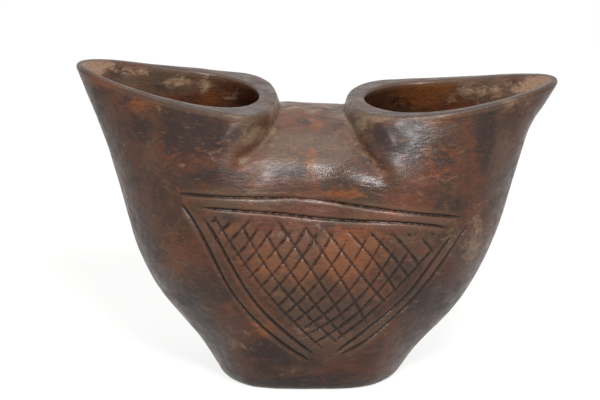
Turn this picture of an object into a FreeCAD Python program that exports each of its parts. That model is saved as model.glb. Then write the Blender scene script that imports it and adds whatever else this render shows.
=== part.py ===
"""Ceremonial cup with two mouths, carved from one block of dark wood.

The body is one bent horn: it starts at the left mouth, runs down round the
bottom and comes up again at the right mouth, with a shallow saddle between
the two necks. The hollow follows it from mouth to mouth. A net of knife cuts
fills a framed triangle on the front.

Origin: under the middle of the cup, on the surface that it stands on.
+X runs from the left mouth to the right mouth, +Y to the back, +Z up.
"""
import FreeCAD, Part
import math
import os
from FreeCAD import Vector

# Outside sizes, in millimetres
LENGTH = 129.0
DEPTH = 59.0
HEIGHT = 86.6

# Walls: at the saddle, at the sides, at the spout tips and under the chamber
SADDLE_WALL = 5.0
SIDE_WALL = 4.5
TIP_WALL = 2.4
FLOOR_WALL = 8.0

# Worn edges: round the foot and along the rims
FOOT_ROUND = 3.0
RIM_ROUND = 0.8

# Knife cuts of the frame and of the net: depth, and length of the run-out at each end
FRAME_CUT = 0.8
FRAME_RUNOUT = 5.0
NET_CUT = 0.65
NET_RUNOUT = 2.0

# Half width of a cut for one unit of its depth, and how far the blade stands proud
CUT_FLARE = 0.7
BLADE_PROUD = 0.3

# The length, depth and height that all stations, lines and cuts below are drawn for
DRAWN_LENGTH = 129.0
DRAWN_DEPTH = 59.0
DRAWN_HEIGHT = 86.6

# Stations of the body, in the order left neck, bottom, right neck. Each is a closed
# section in a plane that fans out from the saddle: inner x, inner z, outer x, outer z,
# half depth, place of the widest point between inner 0 and outer 1, fullness of the
# inner end, fullness of the outer end, narrowing towards the outer end, valley
STATIONS = [
    (-15.5, 88.0, -67.5, 95.5, 24.0, 0.18, 2.1, 5.0, 0.50, 0.0),
    (-11.6, 79.0, -64.2, 84.5, 24.5, 0.18, 2.1, 5.0, 0.50, 0.0),
    (-10.6, 76.2, -61.5, 77.6, 24.7, 0.20, 2.0, 4.2, 0.42, 0.0),
    (-10.0, 75.0, -58.8, 70.5, 25.0, 0.23, 1.9, 3.4, 0.32, 0.0),
    (-9.6, 74.4, -56.0, 62.1, 25.9, 0.28, 1.9, 2.8, 0.20, 0.0),
    (-9.1, 74.1, -53.5, 53.1, 27.0, 0.34, 2.0, 2.4, 0.10, 0.5),
    (-8.6, 74.0, -51.2, 44.1, 28.0, 0.39, 2.0, 2.1, 0.03, 0.9),
    (-7.6, 74.1, -48.4, 35.0, 28.8, 0.43, 2.0, 2.0, 0.03, 0.4),
    (-6.2, 74.2, -43.6, 25.0, 29.2, 0.45, 2.0, 2.0, 0.10, 0.0),
    (-5.0, 74.2, -37.5, 16.8, 29.5, 0.45, 2.0, 2.1, 0.22, 0.0),
    (-3.8, 74.1, -30.4, 7.6, 29.5, 0.45, 2.0, 2.8, 0.35, 0.0),
    (-2.7, 74.0, -21.5, -5.0, 29.5, 0.43, 2.0, 6.0, 0.43, 0.0),
    (-1.5, 73.9, -2.0, -9.0, 29.5, 0.42, 2.0, 10.0, 0.46, 0.0),
    (-0.4, 73.8, 17.0, -5.0, 29.5, 0.43, 2.0, 6.0, 0.43, 0.0),
    (0.7, 73.7, 26.9, 7.6, 29.5, 0.45, 2.0, 2.8, 0.35, 0.0),
    (1.8, 73.6, 35.6, 16.8, 29.5, 0.45, 2.0, 2.1, 0.22, 0.0),
    (3.2, 73.4, 41.6, 25.5, 29.2, 0.45, 2.0, 2.0, 0.10, 0.3),
    (4.6, 73.1, 46.3, 35.0, 28.6, 0.43, 2.0, 2.0, 0.03, 0.9),
    (5.5, 73.1, 49.8, 44.1, 27.8, 0.41, 2.2, 1.9, 0.03, 0.6),
    (6.2, 73.3, 52.4, 53.1, 26.4, 0.39, 2.4, 1.9, 0.03, 0.1),
    (6.8, 73.8, 54.9, 62.1, 24.6, 0.37, 2.7, 1.9, 0.03, 0.0),
    (7.1, 74.7, 57.8, 70.8, 22.8, 0.36, 3.1, 1.9, 0.05, 0.0),
    (7.7, 76.3, 60.9, 75.6, 21.6, 0.35, 3.3, 1.8, 0.05, 0.0),
    (8.5, 78.2, 64.6, 81.7, 21.0, 0.35, 3.3, 1.8, 0.05, 0.0),
    (12.0, 87.0, 69.5, 90.5, 20.5, 0.35, 3.3, 1.8, 0.05, 0.0),
]

# Frame of the carved triangle, as x and z on the front: two cuts along each side
FRAME_CUTS = [
    [(-38.5, 57.0), (-19.0, 57.0), (0.5, 55.5), (20.0, 53.5), (39.5, 49.5)],
    [(-31.5, 54.0), (-14.5, 53.0), (2.5, 51.0), (19.0, 50.5), (36.0, 47.0)],
    [(-37.0, 55.5), (-29.0, 43.0), (-22.5, 29.5), (-13.0, 18.5), (-1.0, 9.0)],
    [(-30.5, 52.0), (-24.0, 40.5), (-18.0, 29.5), (-9.5, 19.5), (0.0, 11.0)],
    [(36.5, 46.5), (29.5, 36.5), (22.5, 27.0), (13.5, 19.5), (4.0, 11.5)],
    [(41.0, 49.0), (33.5, 38.0), (25.5, 27.0), (16.0, 18.0), (4.5, 11.0)],
]

# Net in the triangle: x and z of the upper end of each cut, x and z of its lower end,
# and how far it bows to the left of the way down. First the cuts that fall to the
# right, then those that fall to the left
NET_CUTS = [
    (-28.0, 53.5, 2.5, 12.5, -2.0),
    (-21.0, 52.0, 7.0, 14.0, -2.5),
    (-14.5, 49.0, 8.5, 15.5, -1.0),
    (-11.5, 52.0, 7.5, 22.0, 0.5),
    (-4.5, 50.5, 13.5, 20.5, 1.0),
    (1.0, 50.0, 19.5, 25.0, 0.0),
    (7.0, 49.0, 22.0, 27.5, 1.3),
    (12.5, 49.0, 25.5, 31.5, 0.9),
    (18.5, 48.5, 28.0, 35.5, 0.6),
    (23.0, 48.0, 25.5, 45.0, 0.0),
    (27.0, 46.0, 31.0, 40.0, 0.3),
    (29.5, 47.5, 31.5, 45.0, 0.0),
    (-26.0, 52.0, -28.5, 49.5, 0.0),
    (-22.0, 51.5, -27.0, 46.5, 0.2),
    (-16.5, 52.5, -25.0, 43.0, 0.0),
    (-14.5, 50.5, -23.0, 39.0, 0.3),
    (-10.5, 50.5, -21.5, 36.0, 0.3),
    (-5.5, 49.5, -19.5, 33.0, 0.0),
    (-2.0, 50.5, -17.5, 29.5, 0.8),
    (1.0, 49.0, -14.5, 28.0, 0.8),
    (5.0, 49.5, -12.5, 24.5, 1.3),
    (8.5, 47.0, -11.0, 22.0, 1.6),
    (14.0, 48.5, -8.5, 20.0, 2.4),
    (18.0, 48.0, -5.5, 18.5, 2.9),
    (21.0, 44.0, -3.5, 17.5, 2.9),
    (25.5, 44.5, -3.0, 14.0, 2.9),
    (31.5, 43.5, 3.0, 15.0, 1.5),
]

# Longest step between the points that lay a cut on the front, and fewest steps in one
CUT_STEP = 4.0
FEWEST_STEPS = 4

# How sharply a section narrows towards its outer end
TAPER_POWER = 1.3

# Degrees between the points that draw a section, steps that its half is divided into
# from the inner to the outer end, and the step where it starts and ends, at the back
DRAWING_TURN = 3
HALF_STEPS = 14
SEAM_STEP = 5

# The hollow: least place of its widest point, and the fullness of its inner end
HOLLOW_WIDEST = 0.33
HOLLOW_FULLNESS = 2.0

# The line of both rims from the side, as x and z
RIM_LINE = [
    (-75.0, 88.0),
    (-61.2, 86.1),
    (-45.5, 82.3),
    (-31.0, 79.7),
    (-21.3, 78.3),
    (-2.0, 77.2),
    (16.5, 77.1),
    (34.0, 77.8),
    (54.3, 80.8),
    (75.0, 84.0),
]

# Height under which an edge counts as one of the foot
FOOT_LEVEL = 0.01


def scaled(x, y, z):
    """A drawn point moved to the sizes that are asked for."""
    return Vector(x * LENGTH / DRAWN_LENGTH, y * DEPTH / DRAWN_DEPTH, z * HEIGHT / DRAWN_HEIGHT)


def half_width(place, widest, n_in, n_out, taper):
    """Share of the half depth at a place between the inner end 0 and the outer end 1."""
    if place < widest:
        return (1 - (1 - place / widest) ** n_in) ** 0.5
    outward = min(1.0, (place - widest) / (1 - widest))
    return (1 - taper * outward ** TAPER_POWER) * (1 - outward ** n_out) ** 0.5


def half_outline(length, half_depth, widest, n_in, n_out, taper, valley):
    """Dense points of one half of a section, as distances along and across."""
    points = []
    for turn in range(0, 181, DRAWING_TURN):
        angle = math.radians(turn)
        if turn < 90:
            place = widest * (1 - math.cos(angle))
            dip = valley * math.sin(2 * angle)
        else:
            place = widest - (1 - widest) * math.cos(angle)
            dip = 0.0
        across = half_depth * half_width(place, widest, n_in, n_out, taper) - dip
        points.append(Vector(place * length, across, 0))
    return points


def evenly_spaced(points, steps):
    """The points of a polyline that divide it into steps of equal length."""
    line = Part.makePolygon(points)
    return line.discretize(Number=steps + 1)


def section(inner, outer, *shape):
    """Evenly spaced points round a closed section in the plane through both ends."""
    length = (outer - inner).Length
    along = (outer - inner) / length
    half = evenly_spaced(half_outline(length, *shape), HALF_STEPS)
    back = [inner + along * p.x + Vector(0, p.y, 0) for p in half]
    front = [inner + along * p.x - Vector(0, p.y, 0) for p in half[1:-1]]
    return back[SEAM_STEP:] + front[::-1] + back[:SEAM_STEP]


def outer_sections():
    """Sections of the outside of the body."""
    sections = []
    for in_x, in_z, out_x, out_z, half_depth, *shape in STATIONS:
        inner = scaled(in_x, 0, in_z)
        outer = scaled(out_x, 0, out_z)
        sections.append(section(inner, outer, scaled(0, half_depth, 0).y, *shape))
    return sections


def end_wall(outer, along):
    """Wall at the outer end of a section: thin at the tips, thicker towards the floor."""
    downward = max(0.0, -along.z) ** 2
    below_table = max(0.0, -outer.z)
    return TIP_WALL + (FLOOR_WALL - TIP_WALL) * downward + below_table


def hollow_sections():
    """Sections of the hollow: each outside section moved in by its walls."""
    sections = []
    for in_x, in_z, out_x, out_z, half_depth, widest, n_in, n_out, taper, valley in STATIONS:
        inner = scaled(in_x, 0, in_z)
        outer = scaled(out_x, 0, out_z)
        length = (outer - inner).Length
        along = (outer - inner) / length
        start = inner + along * SADDLE_WALL
        end = outer - along * end_wall(outer, along)
        share = max(widest, HOLLOW_WIDEST)
        place = (SADDLE_WALL + share * (end - start).Length) / length
        outside = scaled(0, half_depth, 0).y * half_width(place, widest, n_in, n_out, taper)
        shape = (outside - SIDE_WALL, share, HOLLOW_FULLNESS, n_out, taper, 0.0)
        sections.append(section(start, end, *shape))
    return sections


def mean_steps(rings):
    """Running distances from ring to ring, each the mean over the rings' points."""
    steps = [0.0]
    for a, b in zip(rings, rings[1:]):
        steps.append(steps[-1] + sum((q - p).Length for p, q in zip(a, b)) / len(a))
    return steps


def skin_surface(sections):
    """One smooth surface through all sections, closed round each of them."""
    columns = list(zip(*sections))
    around = mean_steps(columns + columns[:1])
    along = mean_steps(sections)
    rings = []
    for points in sections:
        ring = Part.BSplineCurve()
        ring.interpolate(Points=points, PeriodicFlag=True, Parameters=around)
        rings.append(ring)
    rails = []
    for poles in zip(*[ring.getPoles() for ring in rings]):
        rail = Part.BSplineCurve()
        rail.interpolate(Points=list(poles), Parameters=along)
        rails.append(rail)
    surface = Part.BSplineSurface()
    surface.buildFromPolesMultsKnots(
        [rail.getPoles() for rail in rails],
        rings[0].getMultiplicities(), rails[0].getMultiplicities(),
        rings[0].getKnots(), rails[0].getKnots(),
        True, False, 3, 3)
    return surface


def closed_solid(faces):
    """One solid from faces that meet along their edges."""
    shell = Part.Shell(faces)
    shell.sewShape()
    solid = Part.Solid(shell)
    if solid.Volume < 0:
        solid.reverse()
    return solid


def capped(skin):
    """The solid inside a skin, with a flat cap over each open end."""
    side = skin.toShape()
    caps = [Part.Face(Part.Wire([edge])) for edge in side.Edges if edge.isClosed()]
    return closed_solid([side] + caps)


def above_rims():
    """All that lies above the line of the rims."""
    line = Part.BSplineCurve()
    line.interpolate([scaled(x, -DRAWN_DEPTH, z) for x, z in RIM_LINE])
    first = line.value(line.FirstParameter)
    last = line.value(line.LastParameter)
    roof = 2 * HEIGHT
    corners = [last, Vector(last.x, last.y, roof), Vector(first.x, first.y, roof), first]
    outline = Part.Wire([line.toShape()] + Part.makePolygon(corners).Edges)
    return Part.Face(outline).extrude(Vector(0, 2 * DEPTH, 0))


def below_foot():
    """All that lies below the surface that the cup stands on."""
    return Part.makeBox(2 * LENGTH, 2 * DEPTH, HEIGHT, Vector(-LENGTH, -DEPTH, -HEIGHT))


def rounded(shape, radius, wanted):
    """The shape with each edge that is wanted rounded off."""
    return shape.makeFillet(radius, [edge for edge in shape.Edges if wanted(edge)])


def lies_on_foot(edge):
    return edge.BoundBox.ZMax < FOOT_LEVEL


def lies_on_rim(edge):
    return edge.isClosed() and edge.BoundBox.ZMin > HEIGHT / 2


def on_front(skin, x, z):
    """The point on the front of the skin at x and z, and the way out of the wood there."""
    eye = Vector(x, -LENGTH, z)
    hits = skin.intersect(Part.Line(eye, Vector(x, 0, z)))[0]
    spot = min((Vector(hit.X, hit.Y, hit.Z) for hit in hits), key=lambda p: p.y)
    normal = skin.normal(*skin.parameter(spot))
    return spot, normal if normal.y < 0 else -normal


def blade(skin, route, depth, runout):
    """A three-sided blade along a route on the front, rising out of the wood at its ends."""
    path = Part.BSplineCurve()
    path.interpolate([scaled(x, 0, z) for x, z in route])
    length = path.length()
    steps = max(FEWEST_STEPS, math.ceil(length / CUT_STEP))
    keel = []
    above = []
    below = []
    for step in range(steps + 1):
        at = path.parameterAtDistance(length * step / steps, path.FirstParameter)
        flat = path.value(at)
        spot, out = on_front(skin, flat.x, flat.z)
        across = out.cross(path.tangent(at)[0]).normalize()
        to_end = length * min(step, steps - step) / steps
        sunk = depth * (1 - max(0.0, 1 - to_end / runout) ** 2)
        half = (sunk + BLADE_PROUD) * CUT_FLARE
        keel.append(spot - out * sunk)
        above.append(spot + out * BLADE_PROUD + across * half)
        below.append(spot + out * BLADE_PROUD - across * half)
    return ruled_solid([keel, above, below])


def ruled_solid(rails):
    """The solid between smooth rails, closed by a flat cap at each end."""
    edges = []
    for rail in rails:
        curve = Part.BSplineCurve()
        curve.interpolate(rail)
        edges.append(curve.toShape())
    faces = [Part.makeRuledSurface(a, b) for a, b in zip(edges, edges[1:] + edges[:1])]
    for end in (0, -1):
        corners = [rail[end] for rail in rails]
        faces.append(Part.Face(Part.makePolygon(corners + corners[:1])))
    return closed_solid(faces)


def bowed(start_x, start_z, end_x, end_z, bow):
    """Route of a net cut through its ends and its bowed middle."""
    start = Vector(start_x, 0, start_z)
    end = Vector(end_x, 0, end_z)
    along = (end - start).normalize()
    middle = (start + end) / 2 + Vector(-along.z, 0, along.x) * bow
    return [(p.x, p.z) for p in (start, middle, end)]


def knife_cuts(skin):
    """Blades for the frame of the triangle and for the net in it."""
    blades = [blade(skin, route, FRAME_CUT, FRAME_RUNOUT) for route in FRAME_CUTS]
    for cut in NET_CUTS:
        blades.append(blade(skin, bowed(*cut), NET_CUT, NET_RUNOUT))
    return blades


def cup():
    """The trimmed body, hollowed from mouth to mouth, worn at its edges and carved."""
    skin = skin_surface(outer_sections())
    body = capped(skin).cut([above_rims(), below_foot()])
    body = rounded(body, FOOT_ROUND, lies_on_foot)
    body = body.cut(capped(skin_surface(hollow_sections())))
    body = rounded(body, RIM_ROUND, lies_on_rim)
    return body.cut(knife_cuts(skin))


os.makedirs("parts", exist_ok=True)
cup().exportStep("parts/cup.step")
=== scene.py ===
"""Looks of the carved cup: worn hardwood on a plain white table under soft light."""
import math

import bpy
import numpy as np
from mathutils import Matrix, Vector, noise


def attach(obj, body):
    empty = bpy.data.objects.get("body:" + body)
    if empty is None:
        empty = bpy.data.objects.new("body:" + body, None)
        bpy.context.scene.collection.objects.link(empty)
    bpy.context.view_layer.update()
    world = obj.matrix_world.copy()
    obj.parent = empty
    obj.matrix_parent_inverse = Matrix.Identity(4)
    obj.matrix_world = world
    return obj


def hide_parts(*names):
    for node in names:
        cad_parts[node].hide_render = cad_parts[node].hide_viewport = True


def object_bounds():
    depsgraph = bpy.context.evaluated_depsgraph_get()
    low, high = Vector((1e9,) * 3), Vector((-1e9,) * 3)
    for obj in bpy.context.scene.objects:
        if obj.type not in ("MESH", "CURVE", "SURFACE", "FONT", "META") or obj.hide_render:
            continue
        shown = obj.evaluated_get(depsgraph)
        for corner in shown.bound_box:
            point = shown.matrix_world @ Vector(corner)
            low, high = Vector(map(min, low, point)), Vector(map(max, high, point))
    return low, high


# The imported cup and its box
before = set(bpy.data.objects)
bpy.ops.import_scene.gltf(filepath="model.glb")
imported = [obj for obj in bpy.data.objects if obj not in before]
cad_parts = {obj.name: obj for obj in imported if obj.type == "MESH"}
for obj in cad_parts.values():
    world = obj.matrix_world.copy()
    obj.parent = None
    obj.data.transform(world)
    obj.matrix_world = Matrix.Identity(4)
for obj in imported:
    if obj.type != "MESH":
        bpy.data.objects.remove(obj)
cad_low, cad_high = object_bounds()
middle = Vector((0, 0, (cad_low.z + cad_high.z) / 2))

# Photograph: image size in pixels, where the middle of the cup lies in it, and the lens
IMAGE_WIDTH, IMAGE_HEIGHT = 600, 400
MIDDLE_PIXEL = (317.5, 218.1)
CAMERA_DISTANCE = 0.900
CAMERA_ELEVATION = math.radians(16)
PIXELS_PER_METRE = 3684.0
SENSOR_WIDTH = 36.0

# Mesh of the wood, which is worked on in millimetres: how many make a metre, the size of
# its first even faces, and the triangles kept
MILLIMETRES = 1000
VOXEL = 0.3
TRIANGLES = 190000

# Hand work: height and size of each kind of unevenness, in millimetres
HAND_WAVES = ((0.16, 14.0), (0.07, 5.0), (0.025, 1.8))

# Swells that the knife left, as seen in the photograph: where the middle lies, half width
# and half height in pixels, and height in millimetres
SWELLS = [
    (313, 163, 38, 34, 4.2), (362, 182, 30, 16, 0.8),
]

# Valleys, where dust gathers, and ridges beside the necks: half width in pixels, depth in
# millimetres, and the points of the line
VALLEYS = [
    (7.0, 0.9, [(282, 106), (274, 128), (261, 145), (241, 160)]),
    (7.0, 0.9, [(342, 108), (354, 138), (368, 157), (384, 174)]),
]
RIDGES = [
    (9.0, -0.8, [(234, 119), (222, 140)]),
    (9.0, -0.8, [(379, 119), (393, 142)]),
]

# Rims: the outside is worked up to this height and fades out below it, and the tops of the
# rims are the faces that look up this much
RIMS_FROM = 76.5
RIMS_FADE = 3.0
RIM_FACES_UP = 0.85
RIM_ROUNDS = 2

# Saddle between the necks, rubbed smooth by hands: where its middle lies, half width and
# half height in pixels, and rounds of smoothing
SADDLE = (313, 148, 40, 46)
SADDLE_ROUNDS = 300

# Worn edges: rounds of smoothing for the surface itself, and for the surface that hollows
# and edges are measured from
EDGE_ROUNDS = 2
SHAPE_ROUNDS = 60

# Knife cuts: they lie on the front below this height, and are deepened by this share
CUTS_BELOW = 60.0
CUTS_FROM = -0.04
CUTS_GAIN = 0.7

# Tones of the wood and of the painted light and shade, as red, green and blue on a screen
BROWN = (60, 40, 27)
RED_BROWN = (88, 48, 30)
RUST = (124, 70, 39)
INK_AND_SHADE = (36, 26, 25)
ASH = (84, 69, 57)
DUST_AND_HIGHLIGHT = (118, 98, 75)
PALE_AND_SIDE_LIGHT = (150, 121, 99)
AMBER = (106, 64, 30)
# Painted shade for the knife cuts and the rim tops
PAINTED_SHADE_BROWN = (34, 21, 11)
WORN = (108, 84, 67)

# Stains and painted light and shade, from the lowest coat to the top one: field, tone, where it
# starts, and strength
TONES = (
    ("ash", ASH, 0.25, 0.6),
    ("rust", RUST, 0.25, 0.75),
    # ink: dark stains, and painted shade low on the body and at the foot
    ("ink_and_shade", INK_AND_SHADE, 0.2, 0.85),
    # dust: dust in the valleys, and painted highlights just under the neck corners
    ("dust_and_highlight", DUST_AND_HIGHLIGHT, 0.2, 0.75),
    # pale: pale patches inside the tips, and painted light on the sides of the body
    ("pale_and_side_light", PALE_AND_SIDE_LIGHT, 0.2, 0.8),
    ("amber", AMBER, 0.25, 0.8),
)

# Stains, polished places, painted light and painted shade on the side that the photograph shows:
# where the middle lies in it, in pixels, half width, half height, and strength
STAINS = {
    "rust": [
        (108, 80, 30, 10, 0.9), (136, 104, 20, 12, 0.5), (316, 122, 14, 18, 0.4),
        (336, 194, 30, 5, 0.6), (262, 262, 36, 24, 0.6), (350, 255, 34, 30, 0.9),
        (236, 232, 14, 16, 0.4), (176, 262, 26, 36, 0.5), (262, 330, 18, 12, 0.6),
        (300, 275, 20, 20, 0.5), (400, 214, 20, 7, 0.7), (440, 168, 14, 20, 0.5),
        (430, 122, 26, 8, 0.3), (424, 100, 26, 7, 0.6),
        (482, 258, 14, 24, 0.3), (188, 150, 30, 14, 0.3),
        (312, 160, 7, 24, 0.4), (230, 310, 14, 8, 0.5), (420, 258, 14, 10, 0.3),
    ],
    # The places at (424, 302), (346, 316) and (308, 384), low on the body and at the foot, are
    # painted shade
    "ink_and_shade": [
        (196, 134, 44, 26, 0.9), (398, 138, 34, 28, 1.0), (440, 150, 36, 40, 0.4),
        (140, 128, 16, 16, 0.7), (288, 172, 30, 8, 0.6), (214, 178, 30, 10, 0.7),
        (190, 298, 16, 10, 0.8), (276, 352, 34, 16, 0.8), (424, 302, 36, 28, 0.7),
        (406, 270, 26, 20, 0.5), (346, 316, 46, 20, 0.7), (486, 136, 11, 44, 0.8),
        (228, 214, 14, 8, 0.5), (158, 190, 12, 30, 0.4), (308, 384, 64, 12, 0.8),
        (306, 122, 9, 6, 0.6), (240, 118, 10, 10, 0.4), (212, 245, 8, 34, 0.4),
        (345, 222, 34, 6, 0.5), (370, 160, 12, 8, 0.4), (450, 205, 22, 10, 0.5),
        (130, 100, 16, 10, 0.4), (170, 112, 20, 8, 0.6), (350, 210, 20, 6, 0.4),
        (246, 104, 14, 8, 0.6), (398, 100, 12, 10, 0.6), (160, 88, 14, 5, 0.5),
    ],
    "ash": [
        (150, 160, 14, 60, 0.5), (320, 345, 60, 26, 0.5), (420, 245, 34, 30, 0.5),
        (500, 170, 16, 60, 0.7), (310, 150, 56, 30, 0.9), (210, 350, 20, 14, 0.4),
        (150, 230, 12, 50, 0.3), (230, 340, 20, 20, 0.4), (252, 112, 16, 24, 0.7),
        (352, 125, 14, 30, 0.6), (165, 80, 60, 16, 1.2), (490, 92, 44, 14, 1.0),
        (468, 260, 20, 40, 0.5), (120, 140, 12, 40, 0.4), (190, 190, 24, 20, 0.3),
    ],
    "dust_and_highlight": [
        (274, 112, 9, 14, 0.5), (256, 136, 22, 14, 0.5), (360, 122, 8, 14, 0.4),
        # The places at (234, 116) and (381, 117) are painted highlights just under the neck
        # corners
        (300, 110, 34, 5, 0.5), (428, 180, 26, 7, 0.3), (234, 116, 20, 3, 0.9),
        (381, 117, 14, 5, 0.9), (238, 162, 20, 7, 0.3), (450, 246, 10, 40, 0.2),
    ],
    "polish": [
        (372, 185, 26, 9, 1.0), (340, 174, 24, 8, 0.8), (392, 192, 12, 6, 0.6),
        (384, 118, 14, 8, 0.8), (240, 116, 20, 6, 0.6), (428, 150, 20, 20, 0.4),
    ],
    "pale_and_side_light": [
        (96, 64, 26, 12, 1.0), (535, 84, 26, 12, 0.9), (140, 72, 20, 8, 0.5),
        # The places at (174, 282), (202, 304), (472, 252) and (228, 338) are painted light on the
        # sides of the body
        (510, 100, 20, 8, 0.5), (174, 282, 16, 36, 0.35), (202, 304, 14, 18, 0.4),
        (472, 252, 12, 44, 0.4), (228, 338, 14, 14, 0.3), (120, 190, 8, 50, 0.3),
        (178, 82, 16, 7, 0.6), (232, 96, 10, 10, 0.4), (480, 92, 24, 8, 0.5),
        (205, 84, 8, 10, 0.5), (118, 72, 10, 6, 0.4), (452, 97, 8, 6, 0.4),
    ],
    "amber": [
        (425, 92, 34, 14, 0.9), (214, 98, 22, 10, 0.5), (455, 84, 14, 8, 0.5),
    ],
}

# A stain ends this far in front of or behind what it lies on, in metres, and its middle is
# what lies within this share of its size
STAIN_DEPTH = 0.011
STAIN_MIDDLE = 0.3

# Dust along the valleys: its width over theirs, and its strength
DUST_SPREAD = 0.7
DUST_STRENGTH = 0.4

# Table: how much light it gives back, its own white where it is looked at, and half its
# width over the cup's
TABLE_COLOUR = (0.16, 0.155, 0.148, 1)
TABLE_GLOW = 0.86
TABLE_SIDES = 40

# Lamps: place and size in metres, and power in watts; and the strength of the white sky
LAMPS = {
    "key": ((0.12, -0.70, 0.63), 0.2, 10.5),
    "top": ((0.0, 0.1, 0.95), 0.6, 3),
}
SKY_LIGHT = 0.42


def srgb(red, green, blue):
    """A colour as written on a screen, in linear light."""
    linear = [((part / 255 + 0.055) / 1.055) ** 2.4 for part in (red, green, blue)]
    return (*linear, 1.0)


def neighbour_mean(points, edges, count):
    """The mean of each point's neighbours."""
    total = np.zeros_like(points)
    for axis in range(points.shape[1]):
        total[:, axis] = np.bincount(edges[:, 0], points[edges[:, 1], axis], len(points))
        total[:, axis] += np.bincount(edges[:, 1], points[edges[:, 0], axis], len(points))
    return total / count[:, None]


def smoothed(points, edges, rounds):
    """The points after a number of rounds of averaging with their neighbours."""
    count = np.maximum(1, np.bincount(edges.ravel(), minlength=len(points)))
    for _ in range(rounds):
        points = 0.5 * points + 0.5 * neighbour_mean(points, edges, count)
    return points


def mesh_arrays(mesh):
    """Vertex places, vertex normals, and edges of a mesh."""
    points = np.empty(len(mesh.vertices) * 3)
    mesh.vertices.foreach_get("co", points)
    normals = np.empty(len(mesh.vertices) * 3)
    mesh.vertices.foreach_get("normal", normals)
    edges = np.empty(len(mesh.edges) * 2, dtype=np.int64)
    mesh.edges.foreach_get("vertices", edges)
    return points.reshape(-1, 3), normals.reshape(-1, 3), edges.reshape(-1, 2)


def applied(obj):
    """Replaces the object's mesh with the result of its modifiers."""
    graph = bpy.context.evaluated_depsgraph_get()
    mesh = bpy.data.meshes.new_from_object(obj.evaluated_get(graph))
    obj.modifiers.clear()
    obj.data = mesh


def add_field(mesh, name, values):
    """Keeps one number for each vertex, for the material to read."""
    mesh.attributes.new(name, "FLOAT", "POINT").data.foreach_set("value", values)


def hand_unevenness(points):
    """Height of the hand-carved surface over the drawn one at each point."""
    return np.array([
        sum(height * noise.noise(Vector(point) / size) for height, size in HAND_WAVES)
        for point in points])


def off_line(across, down, line):
    """Distance of each point from a bent line, in pixels."""
    nearest = np.full(len(across), np.inf)
    for (x0, y0), (x1, y1) in zip(line, line[1:]):
        along_x, along_y = x1 - x0, y1 - y0
        share = ((across - x0) * along_x + (down - y0) * along_y) / (along_x ** 2 + along_y ** 2)
        share = np.clip(share, 0, 1)
        off = np.hypot(across - x0 - share * along_x, down - y0 - share * along_y)
        nearest = np.minimum(nearest, off)
    return nearest


def on_front(points, normals):
    """Where points lie in the photograph, with the back folded onto the front, and how far
    each one lies on the outside and below the rims."""
    side = np.where(points[:, 1] < 0, 1, -1)
    folded = np.stack((points[:, 0], points[:, 1] * side, points[:, 2]), 1) / MILLIMETRES
    across, down, _ = photo_places(folded)
    outside = np.clip(normals[:, 2] - normals[:, 1] * side, 0, 1)
    below = np.clip((RIMS_FROM - points[:, 2]) / RIMS_FADE, 0, 1)
    return across, down, outside * below


def hill(across, down, x, y, half_width, half_height):
    """A smooth hill of height 1 over the picture."""
    return np.exp(-((across - x) / half_width) ** 2 - ((down - y) / half_height) ** 2)


def worked_height(points, normals):
    """Height of the swells, ridges and valleys on the outside, alike in front and at the back."""
    across, down, share = on_front(points, normals)
    height = np.zeros(len(points))
    for x, y, half_width, half_height, rise in SWELLS:
        height += rise * hill(across, down, x, y, half_width, half_height)
    for half_width, depth, line in VALLEYS + RIDGES:
        height -= depth * np.exp(-(off_line(across, down, line) / half_width) ** 2)
    return height * share


def rub_saddle(points, normals, edges):
    """Smooths the saddle between the necks, fully in its middle and less towards its edge."""
    across, down, share = on_front(points, normals)
    share *= np.clip(2 * hill(across, down, *SADDLE) - 0.3, 0, 1)
    rubbed = share > 0
    number = np.cumsum(rubbed) - 1
    inner = number[edges[rubbed[edges].all(axis=1)]]
    saddle = points[rubbed]
    change = smoothed(saddle, inner, SADDLE_ROUNDS) - saddle
    points[rubbed] += share[rubbed, None] * change


def even_copy(node):
    """A copy of the CAD mesh in millimetres, remade in even fine faces."""
    cup = bpy.data.objects.new("carved_cup", node.data.copy())
    bpy.context.scene.collection.objects.link(cup)
    cup.data.transform(Matrix.Scale(MILLIMETRES, 4))
    remesh = cup.modifiers.new("even", "REMESH")
    remesh.mode = "VOXEL"
    remesh.voxel_size = VOXEL
    applied(cup)
    return cup


def lighten(cup):
    """Brings the mesh down to the triangles that are kept."""
    lighter = cup.modifiers.new("lighter", "DECIMATE")
    lighter.ratio = TRIANGLES / sum(len(face.vertices) - 2 for face in cup.data.polygons)
    applied(cup)


def carved_mesh(node):
    """The cup's mesh with its hand work and worn edges, kept inside the CAD box."""
    cup = even_copy(node)
    points, normals, edges = mesh_arrays(cup.data)
    points = smoothed(points, edges, EDGE_ROUNDS)
    shape = smoothed(points, edges, SHAPE_ROUNDS)
    relief = np.einsum("ij,ij->i", points - shape, normals)
    front = (points[:, 1] < 0) & (points[:, 2] < CUTS_BELOW) & (normals[:, 1] < 0)
    cuts = np.where(front, np.minimum(0, relief - CUTS_FROM), 0)
    add_field(cup.data, "relief", relief)
    add_field(cup.data, "cuts", -cuts)
    work = worked_height(points, normals) + hand_unevenness(points) + CUTS_GAIN * cuts
    points += normals * work[:, None]
    rub_saddle(points, normals, edges)
    points = np.clip(points, MILLIMETRES * np.array(cad_low), MILLIMETRES * np.array(cad_high))
    cup.data.vertices.foreach_set("co", points.ravel())
    cup.data.update()
    lighten(cup)
    cup.data.transform(Matrix.Scale(1 / MILLIMETRES, 4))
    cup.data.shade_smooth()
    return cup


def towards_camera():
    """The way from the cup to the camera."""
    return Vector((0, -math.cos(CAMERA_ELEVATION), math.sin(CAMERA_ELEVATION)))


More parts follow.
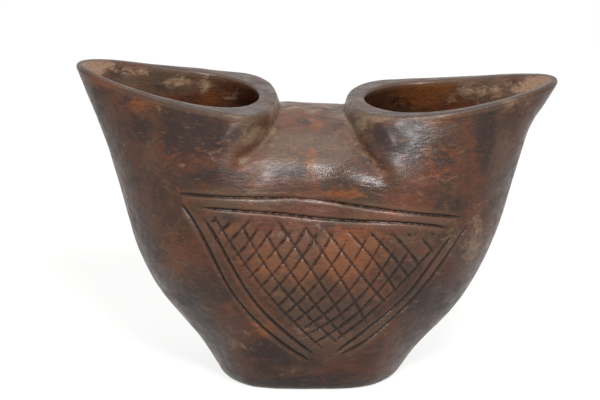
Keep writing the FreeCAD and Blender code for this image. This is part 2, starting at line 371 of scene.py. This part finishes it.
def photo_places(points):
    """Where points lie in the photograph, in pixels, and how far from the camera."""
    back = np.array(towards_camera())
    up = np.array((0, back[2], -back[1]))
    offset = points - np.array(middle)
    distance = CAMERA_DISTANCE - offset @ back
    scale = PIXELS_PER_METRE * CAMERA_DISTANCE / distance
    across = MIDDLE_PIXEL[0] + offset[:, 0] * scale
    down = MIDDLE_PIXEL[1] - (offset @ up) * scale
    return across, down, distance


def stain_field(across, down, distance, places):
    """How strongly each point is stained by the places of one kind."""
    field = np.zeros(len(across))
    for x, y, half_width, half_height, strength in places:
        near = np.hypot((across - x) / half_width, (down - y) / half_height)
        seen = distance[near < STAIN_MIDDLE].min()
        far = np.hypot(near, (distance - seen) / STAIN_DEPTH)
        field = np.maximum(field, strength * np.exp(-far ** 2))
    return field


def add_stains(cup):
    """Keeps one field for each kind of stain or painted light and shade, with the dusty valleys
    in front added too.
    """
    points, _, _ = mesh_arrays(cup.data)
    across, down, distance = photo_places(points)
    for name, places in STAINS.items():
        field = stain_field(across, down, distance, places)
        if name == "dust_and_highlight":
            for half_width, _, line in VALLEYS:
                off = off_line(across, down, line) / (DUST_SPREAD * half_width)
                valley = DUST_STRENGTH * np.exp(-off ** 2) * (points[:, 1] < 0)
                field = np.maximum(field, valley)
        add_field(cup.data, name, field)


def add_rim(cup):
    """Keeps a field that marks the tops of the rims."""
    points, normals, edges = mesh_arrays(cup.data)
    top = (normals[:, 2] > RIM_FACES_UP) & (MILLIMETRES * points[:, 2] > RIMS_FROM - 1)
    add_field(cup.data, "rim", smoothed(top[:, None].astype(float), edges, RIM_ROUNDS)[:, 0])


class Nodes:
    """Short ways to add nodes to a material."""

    def __init__(self, name):
        self.material = bpy.data.materials.new(name)
        self.material.use_nodes = True
        self.tree = self.material.node_tree
        self.shader = self.tree.nodes["Principled BSDF"]

    def put(self, socket, value):
        """Links a socket to an output, or sets it to a constant."""
        if isinstance(value, bpy.types.NodeSocket):
            self.tree.links.new(value, socket)
        else:
            socket.default_value = value

    def maths(self, operation, first, second=0.0):
        """Works out one operation on two numbers."""
        node = self.tree.nodes.new("ShaderNodeMath")
        node.operation = operation
        self.put(node.inputs[0], first)
        self.put(node.inputs[1], second)
        return node.outputs[0]

    def step(self, value, low, high, start=0.0, end=1.0):
        """Goes smoothly from start to end while the value goes from low to high."""
        node = self.tree.nodes.new("ShaderNodeMapRange")
        node.interpolation_type = "SMOOTHSTEP"
        self.put(node.inputs["Value"], value)
        ends = {"From Min": low, "From Max": high, "To Min": start, "To Max": end}
        for name, number in ends.items():
            node.inputs[name].default_value = number
        return node.outputs["Result"]

    def swing(self, parts):
        """A sum of noises, each times its weight, that swings round zero."""
        total = 0.0
        for value, weight in parts:
            part = self.maths("MULTIPLY", self.maths("SUBTRACT", value, 0.5), weight)
            total = self.maths("ADD", part, total)
        return total

    def mix(self, factor, first, second):
        """Blends two colours."""
        node = self.tree.nodes.new("ShaderNodeMix")
        node.data_type = "RGBA"
        self.put(node.inputs["Factor"], factor)
        for slot, colour in ((6, first), (7, second)):
            self.put(node.inputs[slot], srgb(*colour) if isinstance(colour, tuple) else colour)
        return node.outputs[2]

    def field(self, name):
        """A number kept for each vertex."""
        node = self.tree.nodes.new("ShaderNodeAttribute")
        node.attribute_name = name
        return node.outputs["Fac"]

    def coordinates(self):
        """Places on the cup, in metres."""
        return self.tree.nodes.new("ShaderNodeTexCoord").outputs["Object"]

    def stretched(self, vector, scales):
        """Coordinates multiplied along each axis."""
        node = self.tree.nodes.new("ShaderNodeVectorMath")
        node.operation = "MULTIPLY"
        self.put(node.inputs[0], vector)
        node.inputs[1].default_value = scales
        return node.outputs[0]

    def noise(self, vector, scale, detail=3.0, roughness=0.55, distortion=0.0):
        """A noise from 0 to 1."""
        node = self.tree.nodes.new("ShaderNodeTexNoise")
        self.put(node.inputs["Vector"], vector)
        for name, number in (("Scale", scale), ("Detail", detail), ("Roughness", roughness),
                             ("Distortion", distortion)):
            node.inputs[name].default_value = number
        return node.outputs["Fac"]

    def bump(self, height, distance, strength, normal=None):
        """A surface raised by a height, over another bump if one is given."""
        node = self.tree.nodes.new("ShaderNodeBump")
        node.inputs["Distance"].default_value = distance
        node.inputs["Strength"].default_value = strength
        self.put(node.inputs["Height"], height)
        if normal:
            self.put(node.inputs["Normal"], normal)
        return node.outputs["Normal"]


def ground_colour(wood, patches, blots):
    """Brown and red-brown patches with darker and ashen blots."""
    colour = wood.mix(wood.step(patches, 0.38, 0.62), BROWN, RED_BROWN)
    colour = wood.mix(wood.step(blots, 0.50, 0.66, 0.0, 0.5), colour, INK_AND_SHADE)
    return wood.mix(wood.step(blots, 0.48, 0.34, 0.0, 0.25), colour, ASH)


def stained_colour(wood, colour, ragged):
    """The stains, painted light and painted shade over the ground, with edges that the noise
    makes ragged, each the other way round from the one before."""
    for name, tone, start, strength in TONES:
        stain = wood.maths("ADD", wood.maths("MULTIPLY", wood.field(name), 1.3), ragged)
        colour = wood.mix(wood.step(stain, start, start + 0.6, 0.0, strength), colour, tone)
        ragged = wood.maths("MULTIPLY", ragged, -1.0)
    return colour


def worn_colour(wood, colour):
    """Lighter ridges that hands have worn, darker sharp edges, and painted shade in the cuts and
    on the rim tops.
    """
    relief = wood.field("relief")
    colour = wood.mix(wood.step(relief, 0.04, 0.13, 0.0, 0.3), colour, WORN)
    colour = wood.mix(wood.step(relief, 0.16, 0.30, 0.0, 0.4), colour, INK_AND_SHADE)
    # Painted shade in the knife cuts and on the rim tops
    colour = wood.mix(wood.step(wood.field("cuts"), 0.01, 0.08, 0.0, 0.92), colour, PAINTED_SHADE_BROWN)
    return wood.mix(wood.step(wood.field("rim"), 0.3, 0.9, 0.0, 0.6), colour, PAINTED_SHADE_BROWN)


def satin_roughness(wood, blots):
    """Duller where dust lies, and glossier where hands have polished the wood."""
    dull = wood.maths("ADD", blots, wood.maths("MULTIPLY", wood.field("dust_and_highlight"), 0.4))
    dull = wood.maths("SUBTRACT", dull, wood.maths("MULTIPLY", wood.field("polish"), 0.3))
    return wood.step(dull, 0.25, 0.9, 0.24, 0.62)


def wood_material():
    """Dark hand-rubbed hardwood: mottled tones, short fibres, dusty valleys, and painted light
    and shade.
    """
    wood = Nodes("carved_wood")
    place = wood.coordinates()
    patches = wood.noise(place, 80, 5, 0.6, 0.5)
    blots = wood.noise(wood.stretched(place, (0.8, 1, 1.3)), 260, 6, 0.65, 0.6)
    streaks = wood.noise(wood.stretched(place, (0.30, 0.7, 1)), 700, 5, 0.65, 1.0)
    fibres = wood.noise(wood.stretched(place, (0.35, 0.8, 1)), 2600, 4, 0.7, 0.4)
    specks = wood.noise(place, 5200, 2, 0.6)

    colour = ground_colour(wood, patches, blots)
    ragged = wood.swing(((patches, 1.2), (blots, 1.6), (streaks, 1.2)))
    colour = stained_colour(wood, colour, ragged)
    colour = wood.mix(wood.step(streaks, 0.54, 0.68, 0.0, 0.35), colour, RUST)
    colour = wood.mix(wood.step(fibres, 0.50, 0.34, 0.0, 0.6), colour, INK_AND_SHADE)
    colour = wood.mix(wood.step(specks, 0.63, 0.74, 0.0, 0.3), colour, DUST_AND_HIGHLIGHT)
    wood.put(wood.shader.inputs["Base Color"], worn_colour(wood, colour))

    wood.put(wood.shader.inputs["Roughness"], satin_roughness(wood, blots))
    wood.shader.inputs["Specular IOR Level"].default_value = 0.3
    coarse = wood.bump(streaks, 0.0003, 0.5)
    wood.put(wood.shader.inputs["Normal"], wood.bump(fibres, 0.0001, 0.45, coarse))
    return wood.material


def looked_at(tree):
    """1 where the camera, a reflection or glass looks, and 0 where light is passed on."""
    path = tree.nodes.new("ShaderNodeLightPath")
    seen = path.outputs["Is Camera Ray"]
    for other in ("Is Glossy Ray", "Is Transmission Ray"):
        either = tree.nodes.new("ShaderNodeMath")
        either.operation = "MAXIMUM"
        tree.links.new(seen, either.inputs[0])
        tree.links.new(path.outputs[other], either.inputs[1])
        seen = either.outputs[0]
    return seen


def floor_material():
    """A white table top that shows pure white to the camera away from the shadow."""
    table = Nodes("white_table")
    table.shader.inputs["Base Color"].default_value = TABLE_COLOUR
    table.shader.inputs["Roughness"].default_value = 1.0
    table.shader.inputs["Specular IOR Level"].default_value = 0.0
    table.shader.inputs["Emission Color"].default_value = (1, 1, 1, 1)
    glow = table.maths("MULTIPLY", looked_at(table.tree), TABLE_GLOW)
    table.put(table.shader.inputs["Emission Strength"], glow)
    return table.material


def make_floor(low, high):
    """A flat square under the cup, many times its width."""
    side = TABLE_SIDES * (high.x - low.x)
    mesh = bpy.data.meshes.new("floor")
    ends = ((-side, -side), (side, -side), (side, side), (-side, side))
    mesh.from_pydata([(x, y, low.z) for x, y in ends], [], [(0, 1, 2, 3)])
    floor = bpy.data.objects.new("floor", mesh)
    bpy.context.scene.collection.objects.link(floor)
    mesh.materials.append(floor_material())


def make_world():
    """Even white light all round, and pure white where the camera or a reflection sees it."""
    world = bpy.data.worlds.new("studio")
    bpy.context.scene.world = world
    world.use_nodes = True
    tree = world.node_tree
    sky = tree.nodes["Background"]
    sky.inputs["Color"].default_value = (1, 1, 1, 1)
    level = tree.nodes.new("ShaderNodeMapRange")
    level.inputs["To Min"].default_value = SKY_LIGHT
    level.inputs["To Max"].default_value = 1.0
    tree.links.new(looked_at(tree), level.inputs["Value"])
    tree.links.new(level.outputs["Result"], sky.inputs["Strength"])


def make_lamp(name, place, size, power):
    """A square soft lamp that looks at the middle of the cup."""
    lamp = bpy.data.lights.new(name, "AREA")
    lamp.shape = "RECTANGLE"
    lamp.size, lamp.size_y = size, size
    lamp.energy = power
    holder = bpy.data.objects.new(name, lamp)
    holder.location = place
    holder.rotation_euler = (middle - holder.location).to_track_quat("-Z", "Y").to_euler()
    bpy.context.scene.collection.objects.link(holder)


def make_camera(target):
    """The photograph's camera, shifted so that the target lies where the photograph has it."""
    data = bpy.data.cameras.new("camera")
    data.sensor_width = SENSOR_WIDTH
    data.lens = PIXELS_PER_METRE * CAMERA_DISTANCE * SENSOR_WIDTH / IMAGE_WIDTH
    data.shift_x = (IMAGE_WIDTH / 2 - MIDDLE_PIXEL[0]) / IMAGE_WIDTH
    data.shift_y = (MIDDLE_PIXEL[1] - IMAGE_HEIGHT / 2) / IMAGE_WIDTH
    data.clip_start, data.clip_end = 0.01, 100
    camera = bpy.data.objects.new("camera", data)
    camera.location = target + towards_camera() * CAMERA_DISTANCE
    camera.rotation_euler = (-towards_camera()).to_track_quat("-Z", "Y").to_euler()
    bpy.context.scene.collection.objects.link(camera)
    bpy.context.scene.camera = camera


cup = carved_mesh(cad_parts["cup"])
add_stains(cup)
add_rim(cup)
cup.data.materials.clear()
cup.data.materials.append(wood_material())
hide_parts("cup")
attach(cup, "root")

make_floor(cad_low, cad_high)
make_world()
for name, (place, size, power) in LAMPS.items():
    make_lamp(name, place, size, power)
make_camera(middle)
bpy.context.scene.view_settings.view_transform = "Standard"
